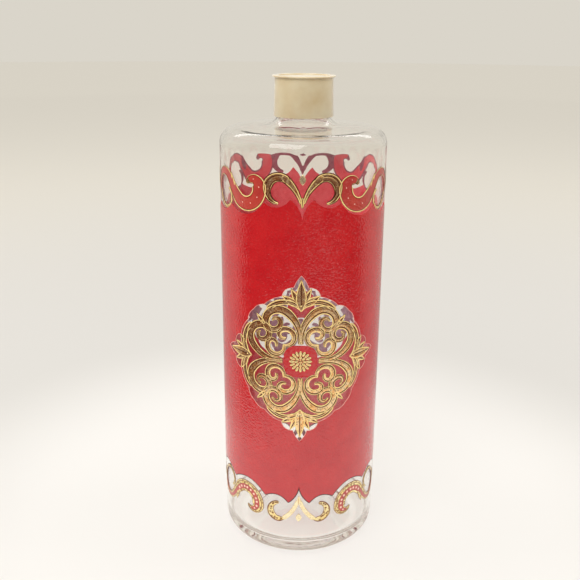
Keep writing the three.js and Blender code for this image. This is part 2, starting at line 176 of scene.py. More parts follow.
def giltMaterial(name, finish, dotSize, dotShare, dotFrom):
    # burnished gold print with a painted highlight along its edges, paler and less metallic, drawn over
    # with thin brown lines and stippled with brown dots where it is broad
    look = {**giltFinish, **finish}
    material, tree, shader, place = newMaterial(name, {"Roughness": look["roughness"]})
    share, half, toLine = [addNode(tree, "Attribute", attribute_name=key).outputs["Fac"] for key in strokeLayers]
    gap = addNode(tree, "Math", [toLine, half], operation="MULTIPLY")
    outwards = addNode(tree, "Math", [share], operation="ABSOLUTE")
    inwards = addNode(tree, "Math", [1, outwards], operation="SUBTRACT")
    toEdge = addNode(tree, "Math", [inwards, half], operation="MULTIPLY")

    # the nearest line is the edge itself where gap and toEdge agree; lines thin out where the stroke does
    beyond = addNode(tree, "Math", [toEdge, gap], operation="SUBTRACT")
    fullReach = addNode(tree, "MapRange", [beyond, 0.02, 0.06, look["edgeWidth"], look["lineWidth"]])
    broadness = addNode(tree, "MapRange", [half, look["narrow"], look["broad"], look["narrowShare"]])
    reach = addNode(tree, "Math", [fullReach, broadness], operation="MULTIPLY")
    wander = addNode(tree, "TexNoise", {"Vector": place, "Scale": perMillimetre(look["wanderSize"]), "Detail": 2})
    moved = addNode(tree, "MapRange", [wander, 0.3, 0.7, -look["wander"], look["wander"]])
    lineEdge = addNode(tree, "Math", [reach, moved], operation="ADD")
    lineEnd = addNode(tree, "Math", [lineEdge, look["soft"]], operation="ADD")
    lines = addNode(tree, "MapRange", [gap, lineEdge, lineEnd, 1, 0], interpolation_type="SMOOTHSTEP")

    cells = addNode(tree, "TexVoronoi", {"Vector": place, "Scale": perMillimetre(dotSize)})
    dots = addNode(tree, "MapRange", [cells, look["dotCore"], look["dotRim"], dotShare, 0])
    where = addNode(tree, "MapRange", [gap, dotFrom, dotFrom + look["dotFade"]])
    stipple = addNode(tree, "Math", [dots, where], operation="MULTIPLY")
    drawn = addNode(tree, "Math", [lines, stipple], operation="MAXIMUM")

    _, metal = mottled(tree, place, look["shading"], 3, look["deepGold"], look["gold"], low=0.35, high=0.6)
    # lit: a painted highlight, a paler and less metallic band along each edge
    lit = addNode(tree, "MapRange", [toEdge, look["highlightFrom"], look["brightTo"], 1, 0],
                  interpolation_type="SMOOTHSTEP")
    body = addNode(tree, "Mix", {0: lit, 6: metal, 7: linear(look["bright"])}, data_type="RGBA")
    grain = addNode(tree, "TexNoise", {"Vector": place, "Scale": perMillimetre(look["grain"]), "Detail": 2})
    height = addNode(tree, "Math", [grain, drawn], operation="SUBTRACT")
    plainMetal = addNode(tree, "MapRange", [lit, 0, 1, look["metallic"], look["highlightMetallic"]])
    setInputs(tree, shader, {
        "Base Color": addNode(tree, "Mix", {0: drawn, 6: body, 7: linear(look["line"])}, data_type="RGBA"),
        "Metallic": addNode(tree, "MapRange", [drawn, 0, 1, plainMetal, look["lineMetallic"]]),
        "Normal": addNode(tree, "Bump", {"Height": height, "Distance": look["grainDepth"] * mm, "Strength": 1}),
    })
    return material


beadFinish = dict(pink="#eeae9c", white="#fbdccc", cloud=0.8, roughness=0.2, ior=1.6)


def beadEnamel():
    # small raised dots of white enamel, fired glossy and a little pink from the red under them
    material, tree, shader, place = newMaterial("whiteBeadEnamel", {
        "Roughness": beadFinish["roughness"],
        "IOR": beadFinish["ior"],
    })
    _, colour = mottled(tree, place, beadFinish["cloud"], 2, beadFinish["pink"], beadFinish["white"], low=0, high=1)
    setInputs(tree, shader, {"Base Color": colour})
    return material


# Cap and liner

plasticFinish = dict(
    cream="#d3c7a9", tan="#c7b48f", cloud=14, roughness=0.3, ior=1.55, haze=0.8, hazeRoughness=0.35,
    depthShare=0.15, depthRadius=(1, 0.7, 0.4), depth=1.5, grain=0.35, grainDepth=0.006,
)


def agedCreamPlastic():
    # urea moulding, once ivory and yellowed unevenly with age: half glossy, its fine grain drawn
    # coarser than it is, so that it shows
    look = plasticFinish
    material, tree, shader, place = newMaterial("agedCreamPlastic", {
        "Roughness": look["roughness"],
        "IOR": look["ior"],
        "Sheen Weight": look["haze"],
        "Sheen Roughness": look["hazeRoughness"],
        "Subsurface Weight": look["depthShare"],
        "Subsurface Radius": look["depthRadius"],
        "Subsurface Scale": look["depth"] * mm,
    })
    _, colour = mottled(tree, place, look["cloud"], 4, look["tan"], look["cream"], low=0.35, high=0.65)
    grain = grained(tree, place, look["grain"], look["grainDepth"], detail=2)
    setInputs(tree, shader, {"Base Color": colour, "Normal": grain})
    return material


boardFinish = dict(fibre="#a89a7c", pulp="#d8cfb8", size=2.5, stretch=(1, 6, 6), relief=0.05, roughness=0.75)


def waxedBoard():
    # pressed pulp board, lightly waxed: matt, flecked with fibres
    look = boardFinish
    material, tree, shader, place = newMaterial("waxedBoard", {"Roughness": look["roughness"]})
    stretched = addNode(tree, "Mapping", {"Vector": place, "Scale": look["stretch"]})
    fibre, colour = mottled(tree, stretched, look["size"], 6, look["fibre"], look["pulp"], low=0.38, high=0.55)
    skin = addNode(tree, "Bump", {"Height": fibre, "Distance": look["relief"] * mm, "Strength": 1})
    setInputs(tree, shader, {"Base Color": colour, "Normal": skin})
    return material


clearGlass = sodaLimeGlass()
redEnamel = firedEnamel("firedRedEnamel", enamelFinish["red"], enamelFinish["warmRed"])
thinRed = firedEnamel("thinFiredRedEnamel", enamelFinish["thinRed"], enamelFinish["thinWarmRed"])
# paler than the front: painted light, for the light that shines through the thin enamel into the jar
redBackLitThrough = enamelBack("redEnamelBackLitThrough", "#dc4650", "#e65c66")
giltBack = enamelBack("giltBack", "#8a4454", "#aa6472")
# a lighter copy of the gold print's back, used on the medallions: painted light
litGiltBack = enamelBack("giltBackInLight", "#a0788a", "#c6abb8")
# a pale line round the medallion's window: a painted highlight on the enamel's edge
rimHighlight = enamelBack("paintedRimHighlight", "#dc8d86", "#eeb0a6")
# a dark line along the field's lower edge: painted shade, for the dark edge that the glass wall shows there
edgeShade = enamelBack("paintedEdgeShade", "#2c0806", "#42120e")
scrollGilt = giltMaterial("burnishedGiltPrint", {}, dotSize=1.2, dotShare=0.4, dotFrom=0.5)
outlinedGilt = giltMaterial(  # dark along the edge, the gold line inside it
    "outlinedGiltPrint", dict(edgeWidth=0.45, highlightFrom=0.8, brightTo=1), dotSize=1.2, dotShare=0.5, dotFrom=0.6)
stippledGilt = giltMaterial(  # yellower gold with strong brown dots
    "stippledGiltPrint", dict(gold="#fdecb4", deepGold="#f8da90", bright="#fdeaae", line="#74380e", metallic=0.85,
                              highlightMetallic=0.5, lineWidth=0.16, edgeWidth=0.2),
    dotSize=1.4, dotShare=0.95, dotFrom=0.3)
rosetteGilt = giltMaterial(  # brighter gold, drawn dark between the petals
    "brightGiltPrint", dict(bright="#ffe8a0", line="#5a2408", highlightMetallic=0.3, edgeWidth=0.5, wander=0.03),
    dotSize=1.2, dotShare=0.5, dotFrom=0.8)
paleGilt = giltMaterial(  # thin, almost lemon gold
    "thinPaleGiltPrint", dict(gold="#fff2cc", deepGold="#fce8b4", bright="#fff0c4", line="#c8955a", metallic=0.86,
                              highlightMetallic=0.8),
    dotSize=1.2, dotShare=0.2, dotFrom=0.4)
whiteBead = beadEnamel()
creamPlastic = agedCreamPlastic()
linerBoard = waxedBoard()
print("materials made")

# Shared mesh helpers. Flat drawings are in mm: x round the jar, y up it and z out from the glass.

jar = dict(
    radius=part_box("glass_bottle")[1].x / mm,
    neckTop=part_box("glass_bottle")[1].z / mm,
    capLow=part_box("screw_cap")[0].z / mm,
    capTop=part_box("screw_cap")[1].z / mm,
    filmGap=0.2,
)
filmRadius = jar["radius"] + jar["filmGap"]
halfRepeat = pi * filmRadius / 2  # the border repeats twice round the jar
printRange = dict(bottom=22.5, top=218.1)
printMiddle = (printRange["bottom"] + printRange["top"]) / 2
relief = dict(seat=-0.1, line=0.14, crest=0.25)  # heights of a gold stroke above the glass
enamelRange = dict(seat=-0.12, face=0.22)
sides = dict(front=0, back=pi)
midrib = (0,)


def newSheet():
    bm = bmesh.new()
    for name in strokeLayers:
        bm.verts.layers.float.new(name)
    return bm


def addCopy(target, source, matrix):  # a moved or mirrored copy of one bmesh in another
    mesh = bpy.data.meshes.new("copy")
    source.to_mesh(mesh)
    mesh.transform(matrix)
    if matrix.is_negative:
        mesh.flip_normals()
    target.from_mesh(mesh)
    bpy.data.meshes.remove(mesh)


def wrap(bm, turn):  # bends a flat sheet round the jar, with x = 0 at that turn
    for vert in bm.verts:
        angle = turn + vert.co.x / filmRadius
        radius = jar["radius"] + vert.co.z
        vert.co = Vector((radius * sin(angle), -radius * cos(angle), vert.co.y)) * mm


def meshFrom(name, bm):  # takes the bmesh over
    mesh = bpy.data.meshes.new(name)
    bm.to_mesh(mesh)
    bm.free()
    return mesh


def newObject(name, data):
    item = bpy.data.objects.new(name, data)
    bpy.context.scene.collection.objects.link(item)
    return item


def finishPiece(name, bm, materials, node, body, sharpAngle=40):
    mesh = meshFrom(name, bm)
    mesh.shade_smooth()
    mesh.set_sharp_from_angle(angle=radians(sharpAngle))
    for material in materials:
        mesh.materials.append(material)
    piece = newObject(name, mesh)
    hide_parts(node)
    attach(piece, body)
    return piece


def raised(height):
    return Matrix.Translation((0, 0, height))


def paintFaces(bm, index, first=0):  # the faces from the first one on
    bm.faces.ensure_lookup_table()
    for face in bm.faces[first:]:
        face.material_index = index


def paintBack(bm, backs, inwards=-0.7):  # a face that looks at the glass takes the backing of its material
    for face in bm.faces:
        centre = face.calc_center_median()
        outwards = Vector((centre.x, centre.y, 0)).normalized()
        if face.normal.dot(outwards) < inwards:
            face.material_index = backs[face.material_index]


# Strokes of the gold print


def headingOf(run):
    return -Vector((1, 0)).angle_signed(run)


def arcStations(start, heading, arcs, widths, stepLength=0.6, stepTurn=12):
    # places along tangent arcs laid end to end: x, y, direction, half width and distance travelled
    x, y = start
    direction, travelled = radians(heading), 0
    stations = [(x, y, direction, widths[0] / 2, travelled)]
    for index, (radius, turn) in enumerate(arcs):
        steps = ceil(max(abs(turn) / stepTurn, radius * abs(radians(turn)) / stepLength))
        stepAngle = radians(turn) / steps
        chord = 2 * radius * sin(abs(stepAngle) / 2)
        for step in range(1, steps + 1):
            x += chord * cos(direction + stepAngle / 2)
            y += chord * sin(direction + stepAngle / 2)
            direction += stepAngle
            travelled += chord
            width = widths[index] + (widths[index + 1] - widths[index]) * step / steps
            stations.append((x, y, direction, width / 2, travelled))
    return stations


def drawnStations(stroke):  # of a stroke in the drawings below
    return arcStations(stroke["start"], stroke["heading"], stroke["arcs"], stroke["widths"])


def leafStations(foot, tip, width, steps=14, fullness=0.8, inset=0.02, leastHalf=0.04):
    (footX, footY), (tipX, tipY) = foot, tip
    run = Vector((tipX - footX, tipY - footY))
    direction = headingOf(run)
    stations = []
    for step in range(steps + 1):
        t = inset + (1 - 2 * inset) * step / steps
        half = max(width / 2 * sin(pi * t ** fullness), leastHalf)
        stations.append((footX + run.x * t, footY + run.y * t, direction, half, run.length * t))
    return stations


def rounded(stations):  # adds the round ends of a stroke
    ends = []
    for side, (x, y, direction, half, travelled) in ((-1, stations[0]), (1, stations[-1])):
        tips = [(side * half * sin(radians(a)), half * cos(radians(a))) for a in (30, 60, 80)]
        ends.append([(x + ahead * cos(direction), y + ahead * sin(direction), direction, narrow, travelled + ahead)
                     for ahead, narrow in tips])
    return ends[0][::-1] + stations + ends[1]


def stationMatrix(station, fullHalf=0.5):  # below this half width a stroke gets lower too
    x, y, direction, half, _ = station
    lift = min(1, half / fullHalf)
    return Matrix.Translation((x, y, 0)) @ Matrix.Rotation(direction, 4, "Z") @ Matrix.Diagonal((1, half, lift, 1))


def strokeSection(lines, perRib=4, fullness=0.7):
    # the outline across a stroke of half width 1: place, height, and distance to the nearest line;
    # a rounded rib lies between each two lines, and the outline's first points are its flat seat
    bounds = [1, *sorted(lines, reverse=True), -1]
    section = [(across, relief["seat"], 0) for across in (-1, *sorted(lines), 1)]
    for high, low in zip(bounds, bounds[1:]):
        for i in range(perRib):
            part = i / perRib
            height = relief["line"] + (relief["crest"] - relief["line"]) * sin(pi * part) ** fullness
            section.append((high + (low - high) * part, height, (high - low) * min(part, 1 - part)))
    return [*section, (-1, relief["line"], 0)]


def sweepStroke(stations, lines):  # a closed ridge along the stations
    bm = newSheet()
    share, half, toLine = [bm.verts.layers.float[name] for name in strokeLayers]
    ring = []
    for across, height, distance in strokeSection(lines):
        vert = bm.verts.new((0, across, height))
        vert[share], vert[toLine] = across, distance
        ring.append(vert)
    edges = [bm.edges.new((ring[i - 1], ring[i])) for i in range(len(ring))]
    matrix = stationMatrix(stations[0])
    bmesh.ops.transform(bm, matrix=matrix, verts=ring)
    bmesh.ops.contextual_create(bm, geom=edges)
    for vert in ring:
        vert[half] = stations[0][3]
    for station in stations[1:]:
        made = bmesh.ops.extrude_edge_only(bm, edges=edges)["geom"]
        ring = [item for item in made if isinstance(item, bmesh.types.BMVert)]
        fresh = set(ring)
        edges = [item for item in made if isinstance(item, bmesh.types.BMEdge) and fresh.issuperset(item.verts)]
        nextMatrix = stationMatrix(station)
        bmesh.ops.transform(bm, matrix=nextMatrix @ matrix.inverted(), verts=ring)
        matrix = nextMatrix
        for vert in ring:
            vert[half] = station[3]
    bmesh.ops.contextual_create(bm, geom=edges)
    bmesh.ops.recalc_face_normals(bm, faces=bm.faces)
    return bm


def addStroke(target, stations, lines, matrix=Matrix()):
    bm = sweepStroke(stations, lines)
    addCopy(target, bm, matrix)
    bm.free()


# Flat films: the red field, the medallion's red centre


def lobePoints(start, end, bulge, steps=14):  # one lobe of a scalloped edge, without its last point
    (startX, startY), (endX, endY) = start, end
    spanX, spanY = endX - startX, endY - startY
    length = hypot(spanX, spanY)
    points = []
    for step in range(steps):
        t = step / steps
        rise = 4 * bulge * t * (1 - t) / length
        points.append((startX + spanX * t - spanY * rise, startY + spanY * t + spanX * rise))
    return points


def fillOutlines(outlines):  # closed outlines, holes among them, as one flat sheet
    bm = newSheet()
    edges = []
    for outline in outlines:
        verts = [bm.verts.new((x, y, 0)) for x, y in outline]
        edges += [bm.edges.new((verts[i - 1], verts[i])) for i in range(len(verts))]
    bmesh.ops.triangle_fill(bm, use_beauty=True, use_dissolve=False, edges=edges, normal=(0, 0, 1))
    return bm


def cutForBending(bm, low, high, step=1.5):  # cuts across a sheet, so that it bends smoothly
    for i in range(1, ceil((high - low) / step)):
        everything = bm.verts[:] + bm.edges[:] + bm.faces[:]
        bmesh.ops.bisect_plane(bm, geom=everything, dist=1e-5, plane_co=(low + i * step, 0, 0), plane_no=(1, 0, 0))


def thicken(bm):  # gives a wrapped sheet of enamel its thickness
    seat, face = jar["radius"] + enamelRange["seat"], jar["radius"] + enamelRange["face"]
    bmesh.ops.scale(bm, vec=(seat / jar["radius"], seat / jar["radius"], 1), verts=bm.verts)
    outer = bmesh.ops.extrude_face_region(bm, geom=bm.faces[:])["geom"]
    moved = [item for item in outer if isinstance(item, bmesh.types.BMVert)]
    bmesh.ops.scale(bm, vec=(face / seat, face / seat, 1), verts=moved)
    bmesh.ops.recalc_face_normals(bm, faces=bm.faces)


# In the drawings a stroke's arcs are pairs of a radius and a turn in degrees, its widths are those at
# their ends, and its lines are places across it, from -1 to 1; a leaf is its foot, tip and width.

medallion = dict(
    cusps=[(0, 46.5), (3.8, 40.2), (10, 35.2), (19.4, 29.9), (26, 26)],
    bulges=[0.5, 1.6, 0.8, 0.9],
    scrolls=[
        dict(start=(0.6, 10.3), heading=99, arcs=[(17.2, -60), (7.3, -127), (4.1, -191), (2.2, -143)],
             widths=[1.8, 5, 4.6, 2.8, 1.6], lines=(-0.58, 0.66)),
        dict(start=(8.6, 8.6), heading=189, arcs=[(4.6, -115), (4.5, -106), (2.4, -167)],
             widths=[1.6, 3.1, 3.3, 1.6], lines=(0.5,)),
        dict(start=(0, 29), heading=45, arcs=[(11.2, -96)], widths=[2.6, 3.4], lines=(-0.4, 0.3)),
    ],
    rimWidth=0.55, layer=0.02, leafDrop=0.05,
    sideLeaves=[((0.8, 30), (10.2, 35.8), 4.2), ((0.6, 30.5), (5.4, 40), 3.4)],
    endLeaf=((0, 27), (0, 44.6), 5.6),
    diagonalDrop=((18.6, 18.6), (24.3, 24.3), 2.6),
    discRadius=9.3, discSquareness=0.45, discReach=10,
    petalRings=[dict(count=16, foot=2.5, tip=6.1, width=1.95, lift=0.1),
                dict(count=8, foot=1, tip=3.3, width=2, lift=0.3)],
    bossRadius=1.1, bossLift=0.35, bossFlatness=0.5,
)

borderScroll = dict(
    heading=235, arcs=[(3.7, -135), (8.2, -145), (44.1, -9), (45.9, 6), (7.5, 157), (13.3, 45), (5.4, 170)],
)
border = dict(
    cusps=[(0, 23.5), (5.8, 13.1), (19.2, 15.6), (42.3, 18.9), (59.5, 21.3), (69.1, 26)],
    bulges=[-1.2, 3.1, 5.4, 3.4, 1.2],
    edgeShadeWidth=0.9,
    lower=dict(
        crescent=dict(start=(12.2, 12.2), heading=-14, arcs=[(5.2, -95), (5.2, -72), (5.2, -30)],
                      widths=[2.2, 4.4, 3.4, 1.4], lines=(0.72,)),
        scroll=dict(borderScroll, start=(30.96, 5.02), widths=[1.2, 7.8, 7, 5.4, 4.4, 2.4, 2.1, 1.3],
                    lines=(-0.56, 0.24, 0.68), core=(-0.56, 0.24)),
        spire=dict(start=(8, 3), heading=142, arcs=[(20.6, -36)], widths=[2.7, 2.2]),
        beadFrom=5, beadTo=32, beadSpacing=2.8, beadRadius=0.78,
    ),
    upper=dict(
        crescent=dict(start=(12.6, 15.2), heading=-10, arcs=[(6.4, -100), (6.4, -100)], widths=[1.6, 5.4, 4.4],
                      lines=(-0.66, 0.3)),
        scroll=dict(borderScroll, start=(28.96, 6.2), widths=[2.4, 8, 7.6, 6, 5, 3, 2.1, 1.3],
                    lines=(-0.77, 0.77), core=(-0.77, 0.77)),
        spire=dict(start=(8.3, 3.4), heading=142, arcs=[(21.5, -36)], widths=[4.4, 1.8]),
        beadFrom=4, beadTo=26, beadSpacing=5.3, beadRadius=0.34,
    ),
    scrollLeaf=((38.6, 12.6), (42.2, 2.8), 2.8),
    redFrom=1.4, beadShare=0.3, beadSeat=0.15, beadFlatness=0.25,
    leafDrop=0.04, tipLift=0.03, palmetteStep=0.03,
    spireTip=((0, 12), (0, 17.8), 2.2),
    diamond=((0, 0.9), (0, 6.3), 3.2),
    palmette=[((0, 3), (0, 20), 5), ((0.6, 4), (6.2, 13.5), 3.4), ((-0.6, 4), (-6.2, 13.5), 3.4)],
)
borderSpread = halfRepeat / border["cusps"][-1][0]  # stretches the drawn half repeat to fit the jar
scrollPaint = dict(core=2, bead=3)  # places among the materials of a scroll


def windowOutline():  # round the medallion's middle
    cusps, bulges = medallion["cusps"], medallion["bulges"]
    octant = [point for i, bulge in enumerate(bulges) for point in lobePoints(cusps[i], cusps[i + 1], bulge, 8)]
    quarter = octant + [cusps[-1]] + [(y, x) for x, y in octant[1:]][::-1]
    outline = []
    for turned in (lambda x, y: (x, y), lambda x, y: (y, -x), lambda x, y: (-x, -y), lambda x, y: (-y, x)):
        outline += [turned(x, y) for x, y in quarter]
    return outline


def outlineStations(outline, width):  # a thin line along a closed outline
    stations, travelled = [], 0
    for i, (x, y) in enumerate([*outline, outline[0]]):
        (beforeX, beforeY), (afterX, afterY) = outline[i - 1], outline[(i + 1) % len(outline)]
        direction = headingOf(Vector((afterX - beforeX, afterY - beforeY)))
        stations.append((x, y, direction, width / 2, travelled))
        travelled += hypot(afterX - x, afterY - y)
    return stations


def buildRedField():
    cusps, bulges = border["cusps"], border["bulges"]
    half = [point for i, bulge in enumerate(bulges) for point in lobePoints(cusps[i], cusps[i + 1], bulge)]
    left = [(-x, y) for x, y in [*half[1:], cusps[-1]]][::-1]
    repeat = [(x * borderSpread, y) for x, y in left + half]
    twice = repeat + [(x + 2 * halfRepeat, y) for x, y in repeat] + [(3 * halfRepeat, cusps[-1][1])]
    low = [(x, y + printRange["bottom"]) for x, y in twice]
    high = [(x, printRange["top"] - y) for x, y in twice][::-1]
    window = windowOutline()
    windows = [[(x + shift, y + printMiddle) for x, y in window] for shift in (0, 2 * halfRepeat)]
    coats = [redEnamel, redBackLitThrough, edgeShade]
    bm = fillOutlines([low + high, *windows])
    cutForBending(bm, -halfRepeat, 3 * halfRepeat)
    wrap(bm, 0)
    bmesh.ops.remove_doubles(bm, verts=bm.verts, dist=1e-6)
    thicken(bm)
    paintBack(bm, [coats.index(redBackLitThrough)])

    # a point of the next turn at each end gives the edge line's two ends the same direction
    beforeLow = (low[-2][0] - 4 * halfRepeat, low[-2][1])
    afterLow = (low[1][0] + 4 * halfRepeat, low[1][1])
    line = sweepStroke(outlineStations([beforeLow, *low, afterLow], border["edgeShadeWidth"])[1:-2], ())
    # this dark edge line is painted shade
    paintFaces(line, coats.index(edgeShade))
    wrap(line, 0)
    addCopy(bm, line, Matrix())
    line.free()
    piece = finishPiece("redEnamelField", bm, coats, "red_enamel_field", "bottle")
    piece.visible_diffuse = False  # so thin a coat lets soft light through into the jar


def buildMedallion(side, turn):
    toMiddle = Matrix.Translation((0, printMiddle, 0))
    mirror = Matrix.Diagonal((-1, 1, 1, 1))
    arm = newSheet()
    for lift, scroll in enumerate(medallion["scrolls"]):  # each one a little lower, so that no two coincide
        stroke = sweepStroke(rounded(drawnStations(scroll)), scroll["lines"])
        for hand in (Matrix(), mirror):
            addCopy(arm, stroke, raised(-medallion["layer"] * lift) @ hand)
        stroke.free()
    for lift, leaf in enumerate(medallion["sideLeaves"]):
        stroke = sweepStroke(leafStations(*leaf), midrib)
        for hand in (Matrix(), mirror):
            addCopy(arm, stroke, raised(-medallion["leafDrop"] - medallion["layer"] * lift) @ hand)
        stroke.free()
    addStroke(arm, leafStations(*medallion["endLeaf"]), midrib)
    addStroke(arm, leafStations(*medallion["diagonalDrop"]), midrib)
    whole = newSheet()
    for quarter in range(4):
        addCopy(whole, arm, toMiddle @ Matrix.Rotation(quarter * pi / 2, 4, "Z"))
    arm.free()
    coats = [scrollGilt, litGiltBack, rimHighlight]
    before = len(whole.faces)
    # the window's pale rim line is a painted highlight
    addStroke(whole, outlineStations(windowOutline(), medallion["rimWidth"]), (), toMiddle)
    paintFaces(whole, coats.index(rimHighlight), before)
    wrap(whole, turn)
    whole.normal_update()
    paintBack(whole, [1, 1, 2])  # the pale line looks alike from both sides
    finishPiece("filigree" + side.title(), whole, coats, "medallion_filigree_" + side, "bottle",
                sharpAngle=50)

    disc = newSheet()
    bmesh.ops.create_circle(disc, cap_ends=True, radius=1, segments=96)
    for vert in disc.verts:
        radius = medallion["discRadius"] - medallion["discSquareness"] * cos(4 * headingOf(vert.co.xy))
        vert.co = Vector((vert.co.x * radius, vert.co.y * radius + printMiddle, 0))
    cutForBending(disc, -medallion["discReach"], medallion["discReach"])
    wrap(disc, turn)
    thicken(disc)
    paintBack(disc, [1])
    finishPiece("medallionCentre" + side.title(), disc, [redEnamel, redBackLitThrough],
                "medallion_disc_" + side, "bottle")

    rosette = newSheet()
    for ring in medallion["petalRings"]:
        leaf = leafStations((0, ring["foot"]), (0, ring["tip"]), ring["width"], steps=8, fullness=1.3)
        petal = sweepStroke(rounded(leaf), ())
        middle = toMiddle @ raised(ring["lift"])
        for i in range(ring["count"]):
            addCopy(rosette, petal, middle @ Matrix.Rotation(2 * pi * i / ring["count"], 4, "Z"))
        petal.free()
    size = medallion["bossRadius"]
    boss = bmesh.ops.create_icosphere(
        rosette, subdivisions=3, radius=size,
        matrix=toMiddle @ raised(medallion["bossLift"]) @ Matrix.Diagonal((1, 1, medallion["bossFlatness"], 1)))
    for vert in boss["verts"]:
        for name in ("half", "toLine"):
            vert[rosette.verts.layers.float[name]] = size
    wrap(rosette, turn)
    finishPiece("rosette" + side.title(), rosette, [rosetteGilt], "medallion_rosette_" + side, "bottle",
                sharpAngle=50)


def buildBorderMotifs(level):  # each motif once, as a flat drawing that stands on y = 0
    motifs = {kind: newSheet() for kind in ("crescent", "scroll", "spire", "diamond", "palmette")}
    drawing = border[level]
    crescent = drawing["crescent"]
    addStroke(motifs["crescent"], rounded(drawnStations(crescent)), crescent["lines"])

    sheet, scroll = motifs["scroll"], drawing["scroll"]
    stations = drawnStations(scroll)
    addStroke(sheet, rounded(stations), scroll["lines"])
    share, half = [sheet.verts.layers.float[name] for name in ("share", "half")]
    low, high = scroll["core"]
    nearly = 0.01
    for face in sheet.faces:
        middle = all(low - nearly < vert[share] < high + nearly for vert in face.verts)
        if middle and min(vert[half] for vert in face.verts) > border["redFrom"]:
            face.material_index = scrollPaint["core"]
    beadAt = drawing["beadFrom"]
    for x, y, direction, halfWidth, travelled in stations:
        if beadAt <= travelled <= drawing["beadTo"]:
            before = len(sheet.faces)
            radius = drawing["beadRadius"] * min(1, border["beadShare"] * halfWidth)
            aside = (low + high) / 2 * halfWidth
            seat = Matrix.Translation((x - aside * sin(direction), y + aside * cos(direction), border["beadSeat"]))
            place = seat @ Matrix.Diagonal((radius, radius, border["beadFlatness"], 1))
            bmesh.ops.create_icosphere(sheet, subdivisions=2, radius=1, matrix=place)
            paintFaces(sheet, scrollPaint["bead"], before)
            beadAt += drawing["beadSpacing"]
    addStroke(sheet, leafStations(*border["scrollLeaf"]), midrib, raised(-border["leafDrop"]))

    for hand in (1, -1):
        addStroke(motifs["spire"], rounded(drawnStations(drawing["spire"])), (), Matrix.Diagonal((hand, 1, 1, 1)))
    addStroke(motifs["spire"], leafStations(*border["spireTip"]), midrib, raised(border["tipLift"]))
    addStroke(motifs["diamond"], leafStations(*border["diamond"], fullness=1), ())
    for lift, leaf in enumerate(border["palmette"]):
        addStroke(motifs["palmette"], leafStations(*leaf), midrib, raised(-border["palmetteStep"] * lift))
    return motifs


borderGilt = dict(
    lower=dict(crescent=stippledGilt, scroll=stippledGilt, palmette=stippledGilt, spire=paleGilt, diamond=paleGilt),
    upper=dict(crescent=outlinedGilt, scroll=scrollGilt, palmette=scrollGilt, spire=outlinedGilt, diamond=paleGilt),
)


def placeMotif(motifs, kind, level, side, turn, hand=""):
    if level == "lower":
        seat = Matrix.Translation((0, printRange["bottom"], 0))
    else:
        seat = Matrix.Translation((0, printRange["top"], 0)) @ Matrix.Diagonal((1, -1, 1, 1))
    bm = newSheet()
    addCopy(bm, motifs[kind], seat @ Matrix.Diagonal((-borderSpread if hand == "left" else borderSpread, 1, 1, 1)))
    wrap(bm, turn)
    bm.normal_update()
    paintBack(bm, [1, 1, 4, 1])
    words = [level, kind, side] + ([hand] if hand else [])
    materials = [borderGilt[level][kind], giltBack, thinRed, whiteBead, redBackLitThrough]
    name = words[0] + "".join(word.title() for word in words[1:])
    finishPiece(name, bm, materials if kind == "scroll" else materials[:2], "_".join(words), "bottle",
                sharpAngle=50)


# Bottle, cap and liner


def roundedProfile(corners, segments):
    # half a section between two points on the axis: radius, height and corner radius in mm
    bm = bmesh.new()
    verts = [bm.verts.new((radius * mm, 0, height * mm)) for radius, height, _ in corners]
    bm.faces.new(verts)
    for vert, (_, _, cornerRadius) in zip(verts, corners):
        if cornerRadius:
            arms = [edge.other_vert(vert).co - vert.co for edge in vert.link_edges]
            reach = cornerRadius * mm / tan(arms[0].angle(arms[1]) / 2)
            bmesh.ops.bevel(bm, geom=[vert], offset=reach, offset_type="OFFSET", affect="VERTICES",
                            segments=segments, profile=0.5, material=-1)
    bmesh.ops.delete(bm, geom=bm.faces[:], context="FACES_ONLY")
    onAxis = [edge for edge in bm.edges if all(abs(vert.co.x) < 1e-7 for vert in edge.verts)]
    bmesh.ops.delete(bm, geom=onAxis, context="EDGES")
    return bm


def spunSolid(corners, steps, segments):
    bm = roundedProfile(corners, segments)
    bmesh.ops.spin(bm, geom=bm.verts[:] + bm.edges[:], cent=(0, 0, 0), axis=(0, 0, 1), angle=2 * pi,
                   steps=steps, use_merge=True, use_duplicate=False)
    bmesh.ops.remove_doubles(bm, verts=bm.verts, dist=1e-7)
    bmesh.ops.recalc_face_normals(bm, faces=bm.faces)
    return bm


thread = dict(pitch=4.233, stepsPerTurn=60, runOut=35, crestRound=0.3)
neckThread = dict(root=12.2, crest=13.7, rootHalf=1.3, crestHalf=0.6, turns=1.5, start=0, drop=2.4, sink=-0.2)
capThread = dict(root=14.4, crest=13.05, rootHalf=0.95, crestHalf=0.5, turns=1.25, start=-90, drop=4.2, sink=0.2)


def ridgeTop(shape, top):  # where the middle of the ridge starts
    return top - shape["drop"] + thread["pitch"] * radians(shape["start"]) / (2 * pi)


def threadRidge(shape, top):  # helical ridge swept down from its upper end, run out at both ends
    bm = bmesh.new()
    section = [(shape["root"], -shape["rootHalf"]), (shape["crest"], -shape["crestHalf"]),
               (shape["crest"], shape["crestHalf"]), (shape["root"], shape["rootHalf"])]
    start = ridgeTop(shape, top)
    verts = [bm.verts.new((radius * mm, 0, (start + height) * mm)) for radius, height in section]
    bm.faces.new(verts)
    bmesh.ops.bevel(bm, geom=verts[1:3], offset=thread["crestRound"] * mm, offset_type="OFFSET",
                    affect="VERTICES", segments=3, profile=0.5, material=-1)
    bmesh.ops.rotate(bm, verts=bm.verts, matrix=Matrix.Rotation(radians(shape["start"]), 3, "Z"))
    steps = ceil(shape["turns"] * thread["stepsPerTurn"])
    face = bm.faces[:][0]
    bmesh.ops.spin(bm, geom=[face], cent=(0, 0, 0), axis=(0, 0, 1), angle=-2 * pi * shape["turns"],
                   steps=steps, dvec=(0, 0, -thread["pitch"] * shape["turns"] * mm / steps))
    runOutEnds(bm, shape, top)
    return bm


